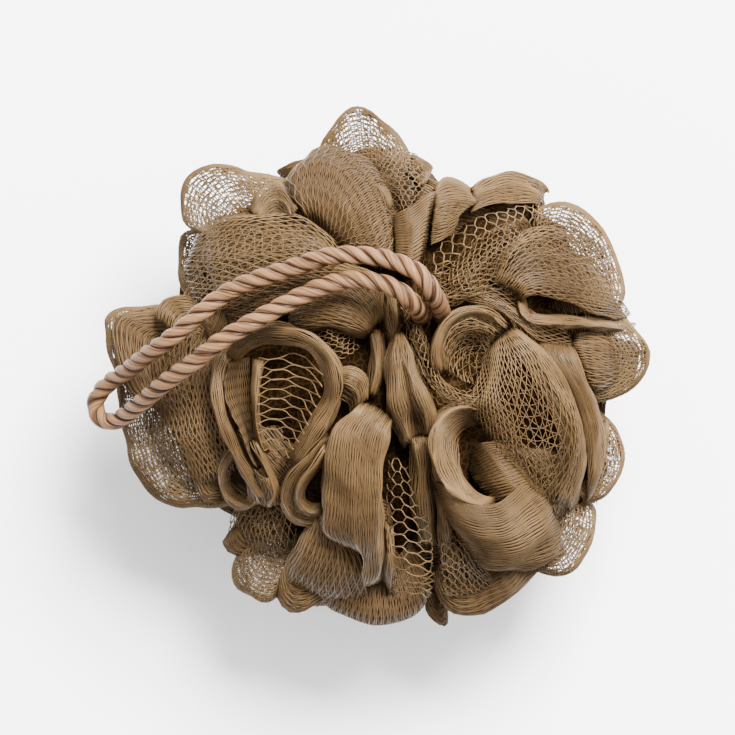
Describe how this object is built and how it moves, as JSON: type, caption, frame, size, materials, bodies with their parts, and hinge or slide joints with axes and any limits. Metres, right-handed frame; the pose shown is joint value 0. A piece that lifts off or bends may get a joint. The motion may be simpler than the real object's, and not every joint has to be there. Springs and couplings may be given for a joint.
{
  "type": "mesh bath pouf",
  "caption": "Ball of gathered tubular netting for washing, tied at the waist, with a twisted cord loop to hang it by.",
  "frame": {"origin": "centre of the netting's bottom, on the face it rests on; the cord is not counted", "axes": "+Z along the gathered centre, out of the side with the hanging cord; the cord loop lies towards -X"},
  "size_m": [0.1516, 0.1408, 0.1091],
  "materials": {
    "netting_front": "semi-gloss extruded net in light brown",
    "netting_middle": "semi-gloss extruded net in light brown",
    "netting_back": "semi-gloss extruded net in light brown",
    "binding_tie": "satin twisted yarn",
    "hanging_cord": "satin three-strand twisted cord in rose tan"
  },
  "bodies": {
    "root": {"netting_front": "netting_front", "netting_middle": "netting_middle", "netting_back": "netting_back", "binding_tie": "binding_tie", "hanging_cord": "hanging_cord"}
  },
  "joints": []
}
